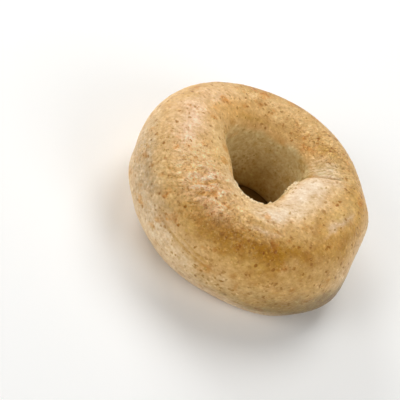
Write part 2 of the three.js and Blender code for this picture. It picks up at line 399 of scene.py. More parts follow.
# Where the oven and the folding have coloured the crust, with painted shade low on the front and a
# painted highlight on the crown: colour, strength, then the place: angle, turn, angle width, turn
# width. Later ones lie over earlier ones
patches = [
    # pale on the left, browner on the shoulder behind
    ("dough", 1.0, -122, 4, 34, 24),
    ("greyTan", 0.7, -152, 26, 28, 30),
    ("ochre", 0.35, 90, 45, 70, 22),
    # the browned band round the front
    ("ochre", 0.95, -76, 50, 44, 24),
    ("brown", 1.1, -72, 65, 34, 14),
    ("brown", 0.35, -106, 56, 16, 13),
    ("brown", 0.35, -42, 67, 22, 11),
    ("ochre", 0.4, -55, 24, 30, 18),
    ("ochre", 0.5, -112, 42, 14, 15),
    ("ochre", 0.3, -86, 20, 16, 12),
    ("ochre", 0.5, -46, 80, 20, 8),
    ("ochre", 0.45, -72, 84, 14, 8),
    # low on the front, painted shade: olive and foot darken the crust towards the foot, a paler patch
    # above
    ("olive", 0.8, -50, -4, 30, 13),
    ("olive", 0.8, -26, -2, 20, 16),
    ("foot", 1.35, -36, -8, 38, 20),
    ("dough", 0.3, -22, 28, 14, 16),
    # the crown beside the seam
    ("gold", 0.9, -4, 96, 18, 10),
    ("gold", 0.5, 4, 62, 14, 14),
    ("ochre", 0.8, -28, 76, 18, 12),
    ("gold", 0.9, -6, 70, 14, 11),
    ("ochre", 0.75, -18, 90, 26, 10),
    ("ochre", 0.5, 12, 84, 12, 12),
    ("greyTan", 0.3, -13, 82, 8, 5),
    ("cream", 0.5, -19, 76, 12, 2),
    # the hole's rim in front
    ("cream", 1.2, -62, 113, 15, 12),
    # the left of the crown, rosy on top and a lighter gold towards the hole: partly the crust's own
    # colour, partly a painted highlight
    ("blushAndSheen", 1.0, -165, 94, 30, 24),
    ("blushAndSheen", 0.55, -120, 88, 22, 18),
    ("lightGold", 0.5, -100, 104, 16, 12),
    ("lightGold", 0.8, -120, 90, 20, 18),
    ("lightGold", 0.6, -155, 136, 24, 16),
    ("gold", 0.5, -142, 112, 16, 12),
    ("lightGold", 0.95, -118, 136, 30, 20),
    # the crown behind the hole
    ("ochre", 0.7, 45, 98, 26, 22),
    ("lightGold", 0.4, 92, 86, 30, 20),
    # the rosy places here are partly a painted sheen
    ("blushAndSheen", 0.2, 135, 96, 30, 14),
    ("gold", 0.4, 140, 108, 34, 14),
    ("blushAndSheen", 0.2, 168, 88, 22, 18),
    ("gold", 0.8, 152, 130, 24, 12),
    ("ochre", 0.6, 118, 137, 24, 10),
    ("ochre", 0.5, 70, 128, 20, 14),
    # the browned shoulder behind
    ("ochre", 0.55, 140, 62, 60, 16),
    ("brown", 0.4, 116, 66, 40, 10),
    # small paler and browner places over all of these
    ("lightGold", 0.35, -6, 96, 12, 8),
    ("lightGold", 0.3, -38, 90, 12, 8),
    ("lightGold", 0.25, 116, 92, 20, 12),
    ("lightGold", 0.5, 168, 172, 22, 14),
    ("lightGold", 0.35, -128, 55, 14, 14),
    ("cream", 0.5, -112, 134, 16, 14),
    ("ochre", 0.3, 0, 62, 12, 12),
    ("gold", 0.2, -38, 67, 14, 9),
    ("lightGold", 0.35, 50, 86, 16, 12),
    ("ochre", 0.25, -168, 108, 14, 10),
    ("honey", 0.28, -128, 96, 24, 34),
    # rosy places on the left of the crown: partly the crust's own colour, partly a painted sheen
    ("blushAndSheen", 0.65, -114, 90, 16, 18),
    ("blushAndSheen", 0.35, -101, 108, 10, 12),
    ("greyTan", 0.25, -126, 8, 13, 12),
    ("honey", 0.3, -2, 82, 26, 20),
    ("honey", 0.4, 34, 103, 12, 10),
    ("gold", 0.35, -27, 70, 10, 16),
    ("ochre", 0.3, -58, 4, 14, 12),
    ("honey", 0.2, -84, 104, 14, 14),
    ("brown", 0.7, -35, 86, 7, 4),
    ("ochre", 0.8, -18, 95, 7, 4),
    ("brown", 0.6, -77, 93, 7, 4),
    ("ochre", 0.4, 52, 97, 16, 9),
    ("ochre", 0.4, 118, 102, 10, 10),
    ("cream", 0.6, -22, 77, 6, 3),
    ("cream", 0.5, -73, 86, 6, 3),
    ("ochre", 0.7, 6, 82, 9, 6),
    ("cream", 0.5, -14, 75, 4, 6),
    ("brown", 0.5, -21, 58, 12, 9),
    ("gold", 0.5, 166, 112, 22, 12),
    ("honey", 0.15, -117, 46, 14, 14),
    ("ochre", 0.25, -40, 70, 12, 12),
    ("ochre", 0.25, -8, 66, 10, 12),
]


# The rest of the colouring. A fade is its start and its length, a span is a fade in and a fade out
doughLook = {
    "wander": [(7, 9 * mm, 11), (3, 3 * mm, 12)],   # how far edges stray round the ring, in degrees
    "drift": [(7, 8 * mm, 13), (3, 3 * mm, 14)],    # and along the section: amount, size, seed
    "uneven": [(0.3, 4 * mm, 15), (0.3, 1.8 * mm, 16)],
    "flankStrength": 0.8, "flankFade": (-30, 34),
    "wallStrength": 0.85, "wallFade": (150, 20),
    "slopeStrength": 1.1, "slopePlace": (-22, 132, 50, 26), "slopeEnd": (-1, 2),
    "foldStrength": 0.85, "foldTurn": 128, "foldTurns": 30, "foldSpan": (-1, 3, 12, 26),
    "creaseLineShadeStrength": 0.8, "lineOffset": 0.6 * mm, "lineWidth": 0.6 * mm, "lineSpan": (92, 12, 135, 40),
    "frontShadeStrength": 0.8, "frontShadeAngle": -30, "frontShadeAngles": 24, "frontShadeFade": (-4, 24),
    "footStrength": 0.45, "footFade": (-84, 34),
    "holeFootShadeStrength": 0.4, "holeFootShadeSpan": (248, 20, 275, 10),
    "creaseShadeStrength": 0.7,
    "undersideStrength": 0.75, "undersideSpan": (275, 8, 340, 18),
}


def doughColourAndPaintedLight(points, fromSeam, angle, turn):
    # the palette's colours laid over each other as soft patches, whose edges wander with noise, with
    # painted shade and a painted highlight among them
    look = doughLook
    aroundHere = angle + layeredNoise(points, look["wander"])
    turnHere = turn + layeredNoise(points, look["drift"])
    uneven = 1 + layeredNoise(points, look["uneven"])

    def lay(colour, name, amount):
        # the colour under it times 1 minus the amount, plus the named one times the amount
        amount = np.clip(amount, 0, 1)[..., None]
        return colour * (1 - amount) + np.array(palette[name]) * amount

    colour = np.broadcast_to(np.array(palette["tan"]), points.shape)
    colour = lay(colour, "dough", look["flankStrength"] * (1 - ramp(turnHere, *look["flankFade"])))
    colour = lay(colour, "wall", look["wallStrength"] * ramp(turnHere, *look["wallFade"]))
    for name, strength, *patchPlace in patches:
        colour = lay(colour, name, strength * uneven * spot(aroundHere, turnHere, patchPlace))
    # the stretched dough under the seam is pale up to the crease, and the folds above it are dull
    fromFold = angleBetween(angle, seam["angle"])
    slope = spot(aroundHere, turnHere, look["slopePlace"]) * (1 - ramp(fromFold, *look["slopeEnd"]))
    colour = lay(colour, "cream", look["slopeStrength"] * slope)
    folds = bump(turnHere - look["foldTurn"], look["foldTurns"]) * window(fromFold, *look["foldSpan"])
    colour = lay(colour, "fold", look["foldStrength"] * folds)
    # painted shade: a dark line runs along the crease
    line = bump(metresRound(fromSeam) - look["lineOffset"], look["lineWidth"])
    colour = lay(colour, "shade", look["creaseLineShadeStrength"] * line * window(turn, *look["lineSpan"]))
    # low on the front the crust is darker towards the foot, a painted shade, and all round it is a little
    # browner
    low = bump(angleBetween(angle, look["frontShadeAngle"]), look["frontShadeAngles"])
    colour = lay(colour, "edge", look["frontShadeStrength"] * low * (1 - ramp(turn, *look["frontShadeFade"])))
    colour = lay(colour, "ochre", look["footStrength"] * (1 - ramp(turnHere, *look["footFade"])))
    # painted shade: the hole's wall is darker towards its foot, and the creases are browner at the bottom
    colour = lay(colour, "shade", look["holeFootShadeStrength"] * window(turn, *look["holeFootShadeSpan"]))
    colour = lay(colour, "ochre", look["creaseShadeStrength"] * creaseShare(angle, turn))
    # the baked underside
    return lay(colour, "ochre", look["undersideStrength"] * window(turn, *look["undersideSpan"]))


# Shallow creases along the flank: from angle, to angle, turn at each end, sag, depth, width
creases = [
    (-124, -82, 21, 12, -2, 0.45 * mm, 0.55 * mm),
    (-112, -88, 25, 17, -1, 0.30 * mm, 0.45 * mm),
    (28, 168, -12, -4, -8, 0.9 * mm, 0.9 * mm),
    (60, 118, 2, 4, 7, 0.5 * mm, 0.8 * mm),
]
creaseFade = 0.25   # the share of a crease's length over which it dies away at each end


def creaseShare(angle, turn, deep=False):
    # 1 at the bottom of a crease, or its depth: a bump across each sagging line
    total = 0 * turn
    for start, end, startTurn, endTurn, sag, depth, width in creases:
        along = angleBetween(angle, start) / (end - start)
        line = startTurn + (endTurn - startTurn) * along + 4 * sag * along * (1 - along)
        fades = window(along, 0, creaseFade, 1 - creaseFade, creaseFade)
        total = total + fades * bump(metresAlong(turn - line), width) * (depth if deep else 1)
    return total if deep else np.clip(total, 0, 1)


# Where the crust is folded, wrinkled, grainy and flecked. A place is its angle, turn, angle width
# and turn width, and in a list it follows its share
texture = {
    "foldSpan": (1, 3, 12, 30), "foldTurn": 132, "foldTurns": 36,
    "wrinkled": (-114, 82, 24, 38),
    "grainyCrown": 0.3, "crownTurn": 88, "crownTurns": 50,   # all the way round
    "grainy": [(1, -108, 78, 42, 34), (1, 50, 105, 45, 34), (0.7, -145, 18, 28, 26),
               (-0.5, -22, 132, 40, 22)],
    "fewFlecks": [(0.5, -22, 132, 42, 24)],
    "fewerInHole": 0.45, "holeSpan": (150, 30, 275, 10),
    "fewerOnFolds": 0.5,
    "calmerFolds": 0.6,   # how much weaker the skin's fine wrinkles are on the folds
}


def foldMask(angle, turn):
    # 1 just above the seam, where the skin lies in folds
    fromFold = angleBetween(angle, seam["angle"])
    return window(fromFold, *texture["foldSpan"]) * bump(turn - texture["foldTurn"], texture["foldTurns"])


def wrinkleMask(angle, turn):
    # the folds above the seam, and a patch of the left crown that wrinkled as it dried
    return np.clip(foldMask(angle, turn) + spot(angle, turn, texture["wrinkled"]), 0, 1)


def grainMask(angle, turn):
    # how grainy the crust is: some all over the crown, most on its left, below that and above the
    # seam, and less on the pale slope
    crown = texture["grainyCrown"] * bump(turn - texture["crownTurn"], texture["crownTurns"])
    return np.clip(crown + spotsSum(angle, turn, texture["grainy"]), 0, 1)


def fleckMask(angle, turn):
    # how strongly the flecks show: weaker on the slope and the folds by the seam and in the hole
    fewer = spotsSum(angle, turn, texture["fewFlecks"])
    fewer = fewer + texture["fewerInHole"] * window(turn, *texture["holeSpan"])
    return np.clip(1 - fewer - texture["fewerOnFolds"] * foldMask(angle, turn), 0, 1)


def wrinkles(points, angle, turn):
    # ridges along the sections, slanting on the crown, 1 on a ridge's line: 1 minus the sharpness
    # times the size of stretched noise
    wrinkledAngle, wrinkledTurn = texture["wrinkled"][:2]
    slanted = bump(angleBetween(angle, wrinkledAngle), crust["wrinkleSlantWidth"])
    slant = crust["wrinkleSlant"] * slanted * metresAlong(turn - wrinkledTurn)
    around = angle * degree * crust["wrinkleRadius"] - slant + layeredNoise(points, crust["wrinkleSway"])
    along = metresAlong(turn) * crust["wrinkleSize"] / crust["wrinkleLength"]
    stretched = np.stack([around, along, 0 * turn], axis=-1)
    noise = smoothNoise(stretched, crust["wrinkleSize"], crust["wrinkleSeed"])
    return np.clip(1 - crust["wrinkleSharpness"] * np.abs(noise), -1, 1) * wrinkleMask(angle, turn)


def fineRelief(points, angle, turn, grain, ridge):
    # soft lumps, dents and ripples, rounded grains, wrinkles and the creases
    grains = crust["leastGrain"] + (1 - crust["leastGrain"]) * grainMask(angle, turn)
    return (layeredNoise(points, crust["softRelief"])
            + crust["grainHeight"] * grain * grains
            + crust["wrinkleHeight"] * ridge
            - creaseShare(angle, turn, deep=True))


def reliefTintAndPaintedLight(grain, ridge, grainy, folded):
    # crests are paler with painted highlight and furrows browner with painted shade, or duller where
    # folded, and grains paler in the middle, partly painted highlight: 1 plus each share times how far
    # its tint is from 1
    crest, furrow = np.clip(ridge, 0, 1)[..., None], np.clip(-ridge, 0, 1)[..., None]
    folded = folded[..., None]
    furrowShadeTint = np.array(crust["furrowShadeTint"]) * (1 - folded) + np.array(crust["foldShadeTint"]) * folded
    onWrinkles = 1 + crest * (np.array(crust["crestHighlightTint"]) - 1) + furrow * (furrowShadeTint - 1)
    onGrains = 1 + (grain * grainy)[..., None] * np.array(crust["grainTintAndHighlight"])
    return onWrinkles * onGrains


calm = ramp(basePoints[..., 2], 0, ring["flankEdge"])
grain = crust["grainMiddle"] - nearestDistance(basePoints, crust["grainSize"], crust["grainSeed"])
ridge = wrinkles(basePoints, angle, turn)
lift = fineRelief(basePoints, angle, turn, grain, ridge) * calm
skinPoints = basePoints + gridNormals(basePoints) * lift[..., None]
skinNormals = gridNormals(skinPoints)
grainy = grainMask(angle, turn)
folded = foldMask(angle, turn)
# the dough's colour times the relief's tint, both with painted shade and highlight in them
skinColour = doughColourAndPaintedLight(basePoints, fromSeam, angle, turn) * reliefTintAndPaintedLight(grain, ridge, grainy, folded)
skinColour = np.concatenate([np.clip(skinColour, 0, 1), grainy[..., None]], axis=-1)
print("skin worked out")


def meshOf(name, points, faces, colours, smooth):
    # a mesh of equal-sided faces, with the dough's colour, painted shade and highlight included, and
    # graininess at each point
    mesh = bpy.data.meshes.new(name)
    sides = faces.shape[1]
    mesh.vertices.add(len(points))
    mesh.vertices.foreach_set("co", points.astype(np.float32).ravel())
    mesh.loops.add(faces.size)
    mesh.loops.foreach_set("vertex_index", faces.astype(np.int32).ravel())
    mesh.polygons.add(len(faces))
    mesh.polygons.foreach_set("loop_start", np.arange(0, faces.size, sides, dtype=np.int32))
    mesh.polygons.foreach_set("use_smooth", np.full(len(faces), smooth))
    mesh.update(calc_edges=True)
    layer = mesh.attributes.new("dough", "FLOAT_COLOR", "POINT")
    layer.data.foreach_set("color", colours.astype(np.float32).ravel())
    mesh.validate()
    piece = bpy.data.objects.new(name, mesh)
    bpy.context.scene.collection.objects.link(piece)
    return piece


def gridFaces(columns, rows):
    # one quad between each four neighbours of a grid that closes on itself both ways
    index = np.arange(columns * rows).reshape(columns, rows)
    right, up = np.roll(index, -1, 0), np.roll(index, -1, 1)
    return np.stack([index, right, np.roll(right, -1, 1), up], axis=-1).reshape(-1, 4)


crustFaces = gridFaces(*turn.shape)
crustPiece = meshOf("crust", skinPoints.reshape(-1, 3), crustFaces, skinColour.reshape(-1, 4), True)
# how the fine wrinkles lie: metres round the ring, metres along the section shortened so that the
# wrinkles come out long that way, and how strong they are
wrinkled = wrinkleMask(angle, turn) - texture["calmerFolds"] * folded
lie = np.stack([metresRound(angle), turn * degree * crust["lieRadius"], wrinkled], axis=-1)
lieLayer = crustPiece.data.attributes.new("lie", "FLOAT_VECTOR", "POINT")
lieLayer.data.foreach_set("vector", lie.astype(np.float32).ravel())
fleckLayer = crustPiece.data.attributes.new("flecked", "FLOAT", "POINT")
fleckLayer.data.foreach_set("value", fleckMask(angle, turn).astype(np.float32).ravel())


def nodeGroup(name, inputs, outputs):
    # an empty group with its named sockets, and its two end nodes
    group = bpy.data.node_groups.new(name, "ShaderNodeTree")
    for label, kind, value in inputs:
        socket = group.interface.new_socket(name=label, in_out="INPUT", socket_type=kind)
        if value is not None:
            socket.default_value = value
    for label, kind in outputs:
        group.interface.new_socket(name=label, in_out="OUTPUT", socket_type=kind)
    return group, group.nodes.new("NodeGroupInput"), group.nodes.new("NodeGroupOutput")


def mathNode(group, operation, first, second=None):
    # one calculation on two sockets or numbers
    node = group.nodes.new("ShaderNodeMath")
    node.operation = operation
    for socket, value in zip(node.inputs, (first, second)):
        if isinstance(value, bpy.types.NodeSocket):
            group.links.new(value, socket)
        elif value is not None:
            socket.default_value = value
    return node.outputs[0]


def vectorNode(group, operation, first, second):
    # one calculation on two vectors, or a vector scaled by a number
    node = group.nodes.new("ShaderNodeVectorMath")
    node.operation = operation
    group.links.new(first, node.inputs[0])
    other = node.inputs["Scale"] if operation == "SCALE" else node.inputs[1]
    if isinstance(second, bpy.types.NodeSocket):
        group.links.new(second, other)
    else:
        other.default_value = second
    return node.outputs[0]


def rampNode(group, value, low, high):
    # 0 below low, 1 above high, smooth between
    node = group.nodes.new("ShaderNodeMapRange")
    node.interpolation_type = "SMOOTHSTEP"
    for label, given in (("Value", value), ("From Min", low), ("From Max", high)):
        if isinstance(given, bpy.types.NodeSocket):
            group.links.new(given, node.inputs[label])
        else:
            node.inputs[label].default_value = given
    return node.outputs["Result"]


def specksGroup():
    # uneven specks: one in each random cell of bent space, kept where the cell's own number is
    # under Coverage. Tone is another number of the cell's own
    bendsPerCell = 1.7
    leastGrowth, growthRange = 0.5, 0.8   # times Radius, by yet another number of the cell's own
    group, given, result = nodeGroup("specks", [
        ("Vector", "NodeSocketVector", None), ("Size", "NodeSocketFloat", 1 * mm),
        ("Coverage", "NodeSocketFloat", 0.5), ("Radius", "NodeSocketFloat", 0.3),
        ("Softness", "NodeSocketFloat", 0.1), ("Bend", "NodeSocketFloat", 0.5),
    ], [("Mask", "NodeSocketFloat"), ("Tone", "NodeSocketFloat")])
    perCell = mathNode(group, "DIVIDE", 1.0, given.outputs["Size"])
    noise = group.nodes.new("ShaderNodeTexNoise")
    noise.inputs["Detail"].default_value = 1.0
    group.links.new(given.outputs["Vector"], noise.inputs["Vector"])
    group.links.new(mathNode(group, "MULTIPLY", perCell, bendsPerCell), noise.inputs["Scale"])
    centred = vectorNode(group, "SUBTRACT", noise.outputs["Color"], (0.5, 0.5, 0.5))
    reach = mathNode(group, "MULTIPLY", given.outputs["Bend"], given.outputs["Size"])
    bent = vectorNode(group, "ADD", given.outputs["Vector"], vectorNode(group, "SCALE", centred, reach))
    cells = group.nodes.new("ShaderNodeTexVoronoi")
    group.links.new(bent, cells.inputs["Vector"])
    group.links.new(perCell, cells.inputs["Scale"])
    parts = group.nodes.new("ShaderNodeSeparateColor")
    group.links.new(cells.outputs["Color"], parts.inputs["Color"])
    grown = mathNode(group, "MULTIPLY", parts.outputs["Green"], growthRange)
    grown = mathNode(group, "ADD", grown, leastGrowth)
    radius = mathNode(group, "MULTIPLY", given.outputs["Radius"], grown)
    inner = mathNode(group, "SUBTRACT", radius, given.outputs["Softness"])
    inside = mathNode(group, "SUBTRACT", 1.0, rampNode(group, cells.outputs["Distance"], inner, radius))
    kept = mathNode(group, "LESS_THAN", parts.outputs["Red"], given.outputs["Coverage"])
    group.links.new(mathNode(group, "MULTIPLY", inside, kept), result.inputs["Mask"])
    group.links.new(parts.outputs["Blue"], result.inputs["Tone"])
    return group


def mottleGroup():
    # a colour made paler and browner by noise: red, green and blue each times 1 plus Amount times
    # noise, red the least and blue the most
    shares = {"X": 1.2, "Y": 2.0, "Z": 3.2}
    darkest = 0.05
    group, given, result = nodeGroup("mottle", [
        ("Color", "NodeSocketColor", None), ("Vector", "NodeSocketVector", None),
        ("Size", "NodeSocketFloat", 2 * mm), ("Amount", "NodeSocketFloat", 0.2),
    ], [("Color", "NodeSocketColor")])
    perCell = mathNode(group, "DIVIDE", 1.0, given.outputs["Size"])
    noise = group.nodes.new("ShaderNodeTexNoise")
    noise.inputs["Detail"].default_value = 4.0
    noise.inputs["Roughness"].default_value = 0.65
    group.links.new(given.outputs["Vector"], noise.inputs["Vector"])
    group.links.new(perCell, noise.inputs["Scale"])
    centred = mathNode(group, "SUBTRACT", noise.outputs["Fac"], 0.5)
    stray = mathNode(group, "MULTIPLY", centred, given.outputs["Amount"])
    factors = group.nodes.new("ShaderNodeCombineXYZ")
    for label, share in shares.items():
        factor = mathNode(group, "ADD", mathNode(group, "MULTIPLY", stray, share), 1.0)
        group.links.new(mathNode(group, "MAXIMUM", factor, darkest), factors.inputs[label])
    product = vectorNode(group, "MULTIPLY", given.outputs["Color"], factors.outputs["Vector"])
    group.links.new(product, result.inputs["Color"])
    return group


def grainGroup():
    # the height of a grainy skin: rounded granules of Size and finer noise between them
    group, given, result = nodeGroup("grain", [
        ("Vector", "NodeSocketVector", None), ("Size", "NodeSocketFloat", 1 * mm),
    ], [("Height", "NodeSocketFloat")])
    perCell = mathNode(group, "DIVIDE", 1.0, given.outputs["Size"])
    cells = group.nodes.new("ShaderNodeTexVoronoi")
    cells.feature = "SMOOTH_F1"
    cells.inputs["Smoothness"].default_value = 0.4
    noise = group.nodes.new("ShaderNodeTexNoise")
    noise.inputs["Detail"].default_value = 3.0
    for node in (cells, noise):
        group.links.new(given.outputs["Vector"], node.inputs["Vector"])
        group.links.new(perCell, node.inputs["Scale"])
    granule = mathNode(group, "SUBTRACT", 1.0, cells.outputs["Distance"])
    group.links.new(mathNode(group, "ADD", granule, noise.outputs["Fac"]), result.inputs["Height"])
    return group


def crinkleGroup():
    # curly ridges, 1 on a ridge's line: 1 minus Narrowness times the distance of twisted noise
    # from its middle
    group, given, result = nodeGroup("crinkle", [
        ("Vector", "NodeSocketVector", None), ("Size", "NodeSocketFloat", 2 * mm),
        ("Narrowness", "NodeSocketFloat", 4.0),
    ], [("Ridge", "NodeSocketFloat")])
    noise = group.nodes.new("ShaderNodeTexNoise")
    noise.inputs["Detail"].default_value = 1.0
    noise.inputs["Distortion"].default_value = 1.2
    group.links.new(given.outputs["Vector"], noise.inputs["Vector"])
    group.links.new(mathNode(group, "DIVIDE", 1.0, given.outputs["Size"]), noise.inputs["Scale"])
    off = mathNode(group, "ABSOLUTE", mathNode(group, "SUBTRACT", noise.outputs["Fac"], 0.5))
    fall = mathNode(group, "MULTIPLY", off, given.outputs["Narrowness"])
    ridge = mathNode(group, "SUBTRACT", 1.0, fall)
    group.links.new(mathNode(group, "MAXIMUM", ridge, 0.0), result.inputs["Ridge"])
    return group


effects = {
    "specks": specksGroup(), "mottle": mottleGroup(), "grain": grainGroup(), "crinkle": crinkleGroup(),
}


def place(material, effect, values):
    # one of the shared effects in a material, with its own values or links
    node = material.node_tree.nodes.new("ShaderNodeGroup")
    node.node_tree = effects[effect]
    for label, value in values.items():
        if isinstance(value, bpy.types.NodeSocket):
            material.node_tree.links.new(value, node.inputs[label])
        else:
            node.inputs[label].default_value = value
    return node


def mixed(material, share, under, over, blend="MIX"):
    # under and over blended by a share; over may be a colour or a socket
    node = material.node_tree.nodes.new("ShaderNodeMix")
    node.data_type = "RGBA"
    node.blend_type = blend
    links = material.node_tree.links
    links.new(share, node.inputs["Factor"])
    links.new(under, node.inputs["A"])
    if isinstance(over, bpy.types.NodeSocket):
        links.new(over, node.inputs["B"])
    else:
        node.inputs["B"].default_value = (*over, 1)
    return node.outputs["Result"]


def attributeNode(material, name):
    # reads one of the piece's own attributes
    node = material.node_tree.nodes.new("ShaderNodeAttribute")
    node.attribute_name = name
    return node


skinLook = {
    "mottles": [(3.8 * mm, 0.55), (1.4 * mm, 0.5)],   # size and amount, one over the other
    "crinkleSize": 1.7 * mm, "crinkleNarrowness": 4.5,
    "wrinkleSize": 1.5 * mm, "wrinkleNarrowness": 5.0,
    # painted shade in the furrows and painted highlight on the ridges of the crinkles and wrinkles
    "furrowShadeTint": (0.86, 0.67, 0.34), "furrowShadeStrength": 0.34,
    "ridgeHighlightTint": (1.26, 1.25, 1.38), "ridgeHighlightStrength": 0.62,
    "grainSize": 1.0 * mm, "grainShare": 0.4, "grainOnGrainy": 0.6,
    "reliefDepth": 0.42 * mm, "roughness": 0.36, "specular": 0.28,
    "highGain": 3.0,    # times graininess, how far the crown's tints replace the flank's
    "leastTone": 0.4,   # the faintest fleck, as a share of the strongest
}

# The flecks, each kind laid over those before it: its tint on the crown and lower on the flank, its
# strength, the mask that says where it shows, how it is laid, and its values in the specks group
flecks = {
    "blotches": {
        "tint": (0.86, 0.58, 0.24), "lowTint": (0.86, 0.68, 0.38), "strength": 0.9,
        "where": "flecked", "blend": "MULTIPLY",
        "specks": {"Size": 6.5 * mm, "Coverage": 0.8, "Radius": 0.42, "Softness": 0.32, "Bend": 1.0},
    },
    "crumbs": {
        "tint": (1.22, 1.30, 1.45), "lowTint": (1.20, 1.32, 1.6), "strength": 1.0,
        "where": "flecked", "blend": "MULTIPLY",
        "specks": {"Size": 1.9 * mm, "Coverage": 0.8, "Radius": 0.36, "Softness": 0.22, "Bend": 0.8},
    },
    "dots": {
        "tint": (0.62, 0.39, 0.10), "lowTint": (0.64, 0.48, 0.20), "strength": 1.0,
        "where": "flecked", "blend": "MULTIPLY",
        "specks": {"Size": 2.3 * mm, "Coverage": 0.55, "Radius": 0.36, "Softness": 0.2, "Bend": 0.7},
    },
    "bran": {
        "tint": (0.60, 0.38, 0.10), "lowTint": (0.60, 0.44, 0.15), "strength": 1.0,
        "where": "flecked", "blend": "MULTIPLY",
        "specks": {"Size": 2.9 * mm, "Coverage": 0.6, "Radius": 0.32, "Softness": 0.18, "Bend": 0.7},
    },
    # dark specks between the grains: painted shade in small pits
    "pitShade": {
        "tint": (0.80, 0.60, 0.32), "lowTint": (0.78, 0.60, 0.34), "strength": 0.7,
        "where": "grainy", "blend": "MULTIPLY",
        "specks": {"Size": 1.4 * mm, "Coverage": 0.7, "Radius": 0.34, "Softness": 0.16, "Bend": 0.6},
    },
    # light specks on the grains: partly pale grit, partly painted glints
    "gritAndGlints": {
        "tint": (0.32, 0.24, 0.10), "lowTint": (0.32, 0.24, 0.10), "strength": 0.9,
        "where": "grainy", "blend": "SCREEN",
        "specks": {"Size": 1.15 * mm, "Coverage": 0.8, "Radius": 0.38, "Softness": 0.18, "Bend": 0.5},
    },
}


def skinRidges(material, here, grainy):
    # the lines of the crinkles and of the wrinkles, each with the mask that says where it shows
    tree = material.node_tree
    crinkles = place(material, "crinkle", {
        "Vector": here, "Size": skinLook["crinkleSize"], "Narrowness": skinLook["crinkleNarrowness"]})
    parts = tree.nodes.new("ShaderNodeSeparateXYZ")
    flatLie = tree.nodes.new("ShaderNodeCombineXYZ")
    tree.links.new(attributeNode(material, "lie").outputs["Vector"], parts.inputs["Vector"])
    tree.links.new(parts.outputs["X"], flatLie.inputs["X"])
    tree.links.new(parts.outputs["Y"], flatLie.inputs["Y"])
    wrinkled = place(material, "crinkle", {
        "Vector": flatLie.outputs["Vector"], "Size": skinLook["wrinkleSize"],
        "Narrowness": skinLook["wrinkleNarrowness"]})
    return [(crinkles.outputs["Ridge"], grainy), (wrinkled.outputs["Ridge"], parts.outputs["Z"])]


def ridgeShadeAndHighlight(material, colour, ridges):
    # painted shade: browner in the furrows between the ridges, and painted highlight: paler on them
    tree = material.node_tree
    for line, mask in ridges:
        furrow = mathNode(tree, "MULTIPLY", mathNode(tree, "SUBTRACT", 1.0, line), mask)
        furrow = mathNode(tree, "MULTIPLY", furrow, skinLook["furrowShadeStrength"])
        colour = mixed(material, furrow, colour, skinLook["furrowShadeTint"], "MULTIPLY")
        crest = mathNode(tree, "MULTIPLY", line, mask)
        crest = mathNode(tree, "MULTIPLY", crest, skinLook["ridgeHighlightStrength"])
        colour = mixed(material, crest, colour, skinLook["ridgeHighlightTint"], "MULTIPLY")
    return colour


def fleckedColour(material, colour, here, grainy):
    # every kind of fleck laid over the colour, warmer on the crown and more olive on the flank
    tree = material.node_tree
    high = mathNode(tree, "MULTIPLY", grainy, skinLook["highGain"])
    high = mathNode(tree, "MINIMUM", high, 1.0)
    masks = {"flecked": attributeNode(material, "flecked").outputs["Fac"], "grainy": grainy}
    for kind in flecks.values():
        specks = place(material, "specks", {"Vector": here, **kind["specks"]})
        tone = mathNode(tree, "MULTIPLY", specks.outputs["Tone"], 1 - skinLook["leastTone"])
        tone = mathNode(tree, "ADD", tone, skinLook["leastTone"])
        tone = mathNode(tree, "MULTIPLY", tone, masks[kind["where"]])
        share = mathNode(tree, "MULTIPLY", specks.outputs["Mask"], tone)
        share = mathNode(tree, "MULTIPLY", share, kind["strength"])
        low = tree.nodes.new("ShaderNodeRGB")
        low.outputs["Color"].default_value = (*kind["lowTint"], 1)
        tint = mixed(material, high, low.outputs["Color"], kind["tint"])
        colour = mixed(material, share, colour, tint, kind["blend"])
    return colour


def crustMaterial():
    # the dough's colour, painted shade and highlight included, mottled, ridged and flecked, over a
    # bump of ridges and grains
    material = bpy.data.materials.new("crustSkin")
    material.use_nodes = True
    tree = material.node_tree
    shader = tree.nodes["Principled BSDF"]
    here = tree.nodes.new("ShaderNodeTexCoord").outputs["Object"]
    dough = attributeNode(material, "dough")
    colour, grainy = dough.outputs["Color"], dough.outputs["Alpha"]
    for size, amount in skinLook["mottles"]:
        mottled = place(material, "mottle", {
            "Color": colour, "Vector": here, "Size": size, "Amount": amount})
        colour = mottled.outputs["Color"]
    ridges = skinRidges(material, here, grainy)
    colour = fleckedColour(material, ridgeShadeAndHighlight(material, colour, ridges), here, grainy)
    tree.links.new(colour, shader.inputs["Base Color"])
    shader.inputs["Roughness"].default_value = skinLook["roughness"]
    shader.inputs["Specular IOR Level"].default_value = skinLook["specular"]
    # grains stand out everywhere, more of them where the skin is grainy
    grain = place(material, "grain", {"Vector": here, "Size": skinLook["grainSize"]}).outputs["Height"]
    rough = mathNode(tree, "MULTIPLY", grainy, skinLook["grainOnGrainy"])
    rough = mathNode(tree, "ADD", rough, skinLook["grainShare"])
    height = mathNode(tree, "MULTIPLY", grain, rough)
    for line, mask in ridges:
        height = mathNode(tree, "ADD", height, mathNode(tree, "MULTIPLY", line, mask))
    relief = tree.nodes.new("ShaderNodeBump")
    relief.inputs["Distance"].default_value = skinLook["reliefDepth"]
    tree.links.new(height, relief.inputs["Height"])
    tree.links.new(relief.outputs["Normal"], shader.inputs["Normal"])
    return material


crustPiece.data.materials.append(crustMaterial())
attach(crustPiece, "root")
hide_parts("bagel")
print("crust done")


